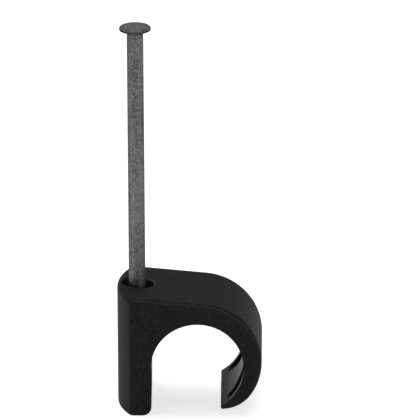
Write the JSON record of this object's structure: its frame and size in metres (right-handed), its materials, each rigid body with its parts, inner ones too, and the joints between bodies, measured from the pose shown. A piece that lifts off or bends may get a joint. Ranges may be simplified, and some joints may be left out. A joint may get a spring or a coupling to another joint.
{
  "type": "nail-in cable clip",
  "caption": "Moulded hook-shaped cable clip on a flat-footed leg, with a long flat-head steel nail standing in its bore, ready to be driven into a wall.",
  "frame": {"origin": "where the nail's axis meets the wall, in the plane of the leg's foot", "axes": "+Z out from the wall, along the nail to its head; +X from the leg towards the hook; +Y along the cable"},
  "size_m": [0.026, 0.019, 0.0707],
  "materials": {
    "moulding": "black, moulded with a fine satin grain",
    "nail_wire": "drawn wire, dull mottled zinc coating"
  },
  "bodies": {
    "clip": {"clip_body": "moulding"},
    "driven_nail": {"nail": "nail_wire"}
  },
  "joints": [
    {"name": "nail_drive", "type": "slide", "parent": "clip", "child": "driven_nail", "axis": [0, 0, -1], "range_m": [0, 0.0507]}
  ]
}
